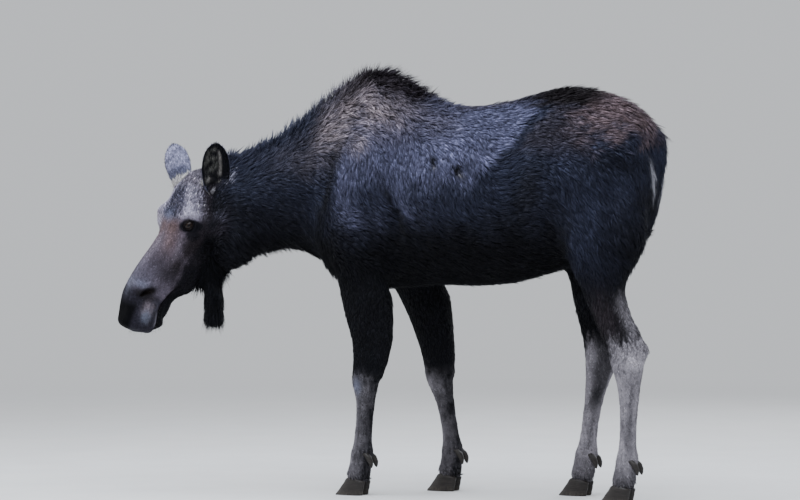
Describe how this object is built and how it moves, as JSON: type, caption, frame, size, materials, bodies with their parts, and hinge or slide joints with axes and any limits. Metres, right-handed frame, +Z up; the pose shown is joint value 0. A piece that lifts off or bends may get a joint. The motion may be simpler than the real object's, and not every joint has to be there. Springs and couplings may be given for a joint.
{
  "type": "standing cow moose",
  "caption": "Life-size cow moose standing still: humped withers, drooping muzzle, hanging throat bell, long slender legs, head turned to the left.",
  "frame": {"origin": "on the floor, under the centre of the whole animal's bounding box", "axes": "+Z up, the animal faces -Y, its left side is at +X"},
  "size_m": [0.6236, 2.3516, 1.7983],
  "materials": {
    "coat_body": "dense near-black hair with a cool sheen, browner on the hump and rump",
    "coat_face": "short grey-brown hair, paler on the forehead and darker on the muzzle",
    "coat_leg": "short hair, near-black above and pale grey below",
    "coat_ear": "short grey hair",
    "eye": "wet and very dark brown",
    "horn": "smooth dark horn, faintly ringed"
  },
  "bodies": {
    "root": {"trunk": "coat_body", "neck": "coat_body", "bell": "coat_body", "tail": "coat_body", "head": "coat_face", "ear_left": "coat_ear", "ear_right": "coat_ear", "leg_fore_left": "coat_leg", "leg_fore_right": "coat_leg", "leg_hind_left": "coat_leg", "leg_hind_right": "coat_leg", "eye_left": "eye", "eye_right": "eye", "hoof_fore_left_outer": "horn", "dewclaw_fore_left_outer": "horn", "hoof_fore_left_inner": "horn", "dewclaw_fore_left_inner": "horn", "hoof_fore_right_outer": "horn", "dewclaw_fore_right_outer": "horn", "hoof_fore_right_inner": "horn", "dewclaw_fore_right_inner": "horn", "hoof_hind_left_outer": "horn", "dewclaw_hind_left_outer": "horn", "hoof_hind_left_inner": "horn", "dewclaw_hind_left_inner": "horn", "hoof_hind_right_outer": "horn", "dewclaw_hind_right_outer": "horn", "hoof_hind_right_inner": "horn", "dewclaw_hind_right_inner": "horn"}
  },
  "joints": []
}
